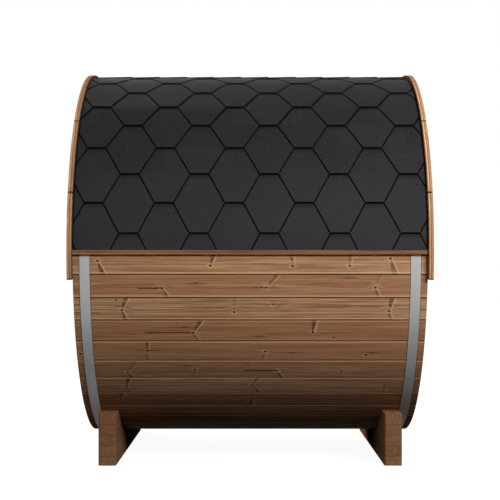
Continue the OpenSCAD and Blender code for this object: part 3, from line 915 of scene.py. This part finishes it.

# Every tab has its own grey, and painted light pales the low courses and the left of the top one
tone, height = granules(place)
tab_shade = place.chance(tab_count.floor(), course)[0]
slate = (tone + tab_shade * 0.16 - 0.08).blend(SHINGLE_GREY, SHINGLE_PALE)
slate = slate.tint(SHINGLE_PAINTED_LIGHT, count.rise(4.0, -0.8) * 0.28)
slate = slate.tint(SHINGLE_PAINTED_LIGHT, count.rise(4.6, 5.2) * x.rise(0.3, -0.7) * 0.22)
# Painted shade under each tab's foot, and painted shadow along its slants and feet
slate = slate.tint(SHINGLE_EDGE_AND_SHADOW, hollow * 0.35)
slate = slate.tint(SHINGLE_EDGE_AND_SHADOW, slant.most(foot) * 0.96)
normal = place.node("NewGeometry", out="Normal").parts()
faces_out = (normal[Y_AXIS] * y + normal[Z_AXIS] * up).size() / y.span(up)
slate = slate.tint(SHINGLE_EDGE_AND_SHADOW, faces_out.rise(0.8, 0.5))
# Painted shade darkens the shingles along the trims
slate = slate.tint(SHINGLE_EDGE_AND_SHADOW, (felt_high.x - x.size()).rise(*SIDE_LINE) * 0.85)
roofing(shingle_finish, place, slate, height)
finish_nodes(
    shingle_finish,
    "shingles_front_a", "shingles_front_b", "shingles_back_a", "shingles_back_b",
    "starter_front", "starter_back",
)

cap_low, cap_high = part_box("ridge_caps")
cap_finish, place = new_finish("slate_cap")
tone, height = granules(place)
cap_step = (cap_high.x - cap_low.x) / (CAP_COUNT + 1 / 3)
x, y = place.parts()[:2]
cap_place = ((x - cap_low.x) / cap_step).fraction() * cap_step
to_side = cap_high.y - y.size()
slate = tone.blend(SHINGLE_GREY, SHINGLE_PALE)
# The caps' edges are dark, partly as bare bitumen and partly as painted shadow
cap_edge = cap_place.rise(*CAP_LINE).most(to_side.rise(*CAP_SIDE_LINE))
slate = slate.tint(SHINGLE_EDGE_AND_SHADOW, cap_edge * 0.9)
roofing(cap_finish, place, slate, height)
finish_nodes(cap_finish, "ridge_caps")

felt_finish, place = new_finish("bitumen_felt")
tone, height = granules(place)
roofing(felt_finish, place, tone.blend(SHINGLE_EDGE_AND_SHADOW, SHINGLE_GREY), height)
finish_nodes(felt_finish, "roof_felt_front", "roof_felt_back")


# Eave battens
# A planed strip of straight-grained pine is fixed to the staves along each eave, with a notch
# over each hoop. The lower edge of the roof stands on it.
BATTEN_LIGHT = (0.330, 0.157, 0.074, 1)
BATTEN_DARK = (0.055, 0.021, 0.009, 1)

batten_finish = straight_finish("batten_pine", X_AXIS, BATTEN_LIGHT, BATTEN_DARK, 4.0)
finish_nodes(batten_finish, "eave_batten_front", "eave_batten_back")


# Arched end trims
# Curved pieces sawn from paler pine, glued up from two layers and set end to end over both ends
# of the roof, cover the ends of the staves and shingles.
TRIM_LIGHT = (0.740, 0.420, 0.218, 1)
TRIM_DARK = (0.280, 0.130, 0.060, 1)
TRIM_PALE = (0.700, 0.470, 0.290, 1)
TRIM_DROP = radians(7.9)
TRIM_PIECES = 4
TRIM_GLUE = (0.0026, 0.0010)
TRIM_JOINT = (0.0080, 0.0040)
TRIM_FOOT = (0.0080, 0.0050)
# Width of the painted shadow along each trim's inner edge
TRIM_SHADOW_W = 0.0020
RIGHT_SHADOW_MORE = 0.0022
TRIM_SHADOW_SOFT = 0.0008

trim_low, trim_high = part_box("trim_right_front")
trim_middle = (trim_low.x + trim_high.x) / 2
trim_step = (pi / 2 + TRIM_DROP) / TRIM_PIECES

trim_finish, place = new_finish("trim_pine")
x, y, z = place.parts()
up = z - axis_z
count = (up.angle(y.size()) + TRIM_DROP) / trim_step
piece = count.floor()
lean = (count.fraction() - 0.5) * trim_step
radius = y.span(up)
along = radius * lean.math("SINE", lean)
across = radius * lean.math("COSINE", lean) - barrel_r
past_glue = x - x.sign() * trim_middle
layer = past_glue.rise(-0.0005, 0.0005)
seeds = place.chance(piece + layer * 40, x.sign() * 3 + y.sign())
tone = ring_tone(growth(place, along, across, past_glue, seeds)) * 0.45
tone = tone + fibre_tone(place, along, across, x, seeds[0]) * 0.7 - 0.05
wood = tone.blend(TRIM_LIGHT, TRIM_DARK)
wood = wood.tint(BLACK, seeds[1] * 0.12 + layer * 0.28)
wood = wood.tint(TRIM_PALE, right_end(x) * 0.08)

# The glue line and the joints are dark; painted shade darkens the feet, and painted shadow the edge
# beside the barrel, wider at the right end
wood = wood.tint(SEAM_AND_SHADE_DARK, past_glue.size().rise(*TRIM_GLUE) * 0.75)
to_joint = (trim_step / 2 - lean.size()) * barrel_r
wood = wood.tint(SEAM_AND_SHADE_DARK, to_joint.rise(*TRIM_JOINT) * 0.55)
from_foot = count * (trim_step * barrel_r)
wood = wood.tint(SEAM_AND_SHADE_DARK, from_foot.rise(*TRIM_FOOT) * 0.8)
# Painted shadow along the trim's inner edge beside the barrel
past_painted_shadow = x.size() - trim_low.x - (TRIM_SHADOW_W + right_end(x) * RIGHT_SHADOW_MORE)
wood = wood.tint(KNOT_AND_SHADOW_DARK, past_painted_shadow.rise(TRIM_SHADOW_SOFT, -TRIM_SHADOW_SOFT) * 0.85)
set_planed(trim_finish, place, wood, tone)
finish_nodes(trim_finish, "trim_left_front", "trim_left_back", "trim_right_front", "trim_right_back")
